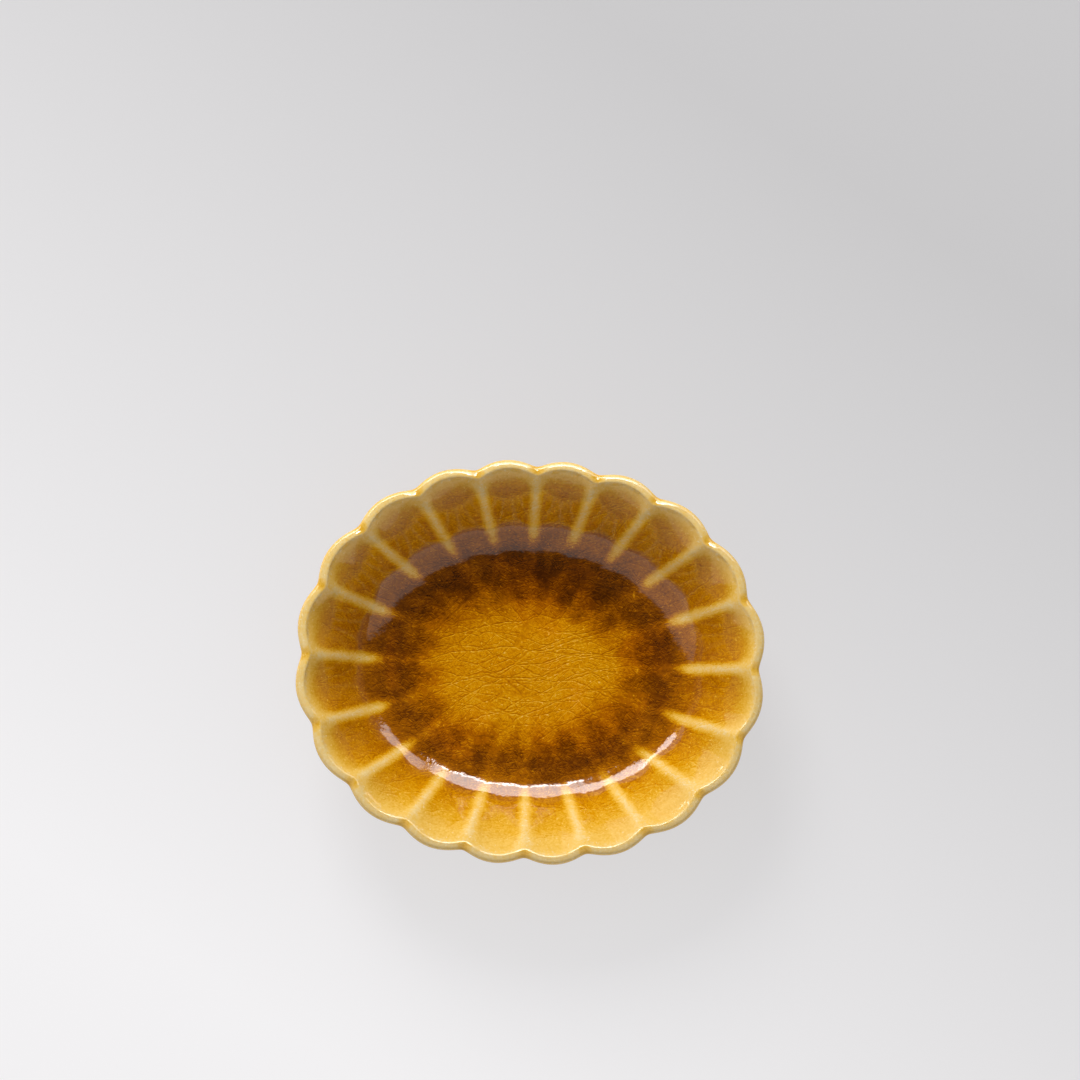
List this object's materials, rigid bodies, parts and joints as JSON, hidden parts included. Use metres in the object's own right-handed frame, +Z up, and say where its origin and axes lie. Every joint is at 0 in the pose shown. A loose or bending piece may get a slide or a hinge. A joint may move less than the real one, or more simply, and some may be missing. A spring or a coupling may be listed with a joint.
{
  "type": "soy sauce dish",
  "caption": "Small oval glazed stoneware dish for soy sauce, with a fluted petal wall, a rounded scalloped lip, a shallow well and a low oval foot ring.",
  "frame": {"origin": "centre of the foot ring on the table, under the middle of the dish", "axes": "+X along the long axis of the oval, +Y along its short axis, +Z up out of the well"},
  "size_m": [0.1056, 0.0908, 0.0233],
  "materials": {
    "clay": "matt fired buff clay",
    "bare_foot": "matt fired buff clay, wiped and ground",
    "amber_glaze": "glossy transparent amber glaze with a fine crackle",
    "base_glaze": "glossy thin amber glaze"
  },
  "bodies": {
    "root": {"clay_body": "clay", "foot_ring": "bare_foot", "amber_glaze": "amber_glaze", "base_glaze": "base_glaze"}
  },
  "joints": []
}
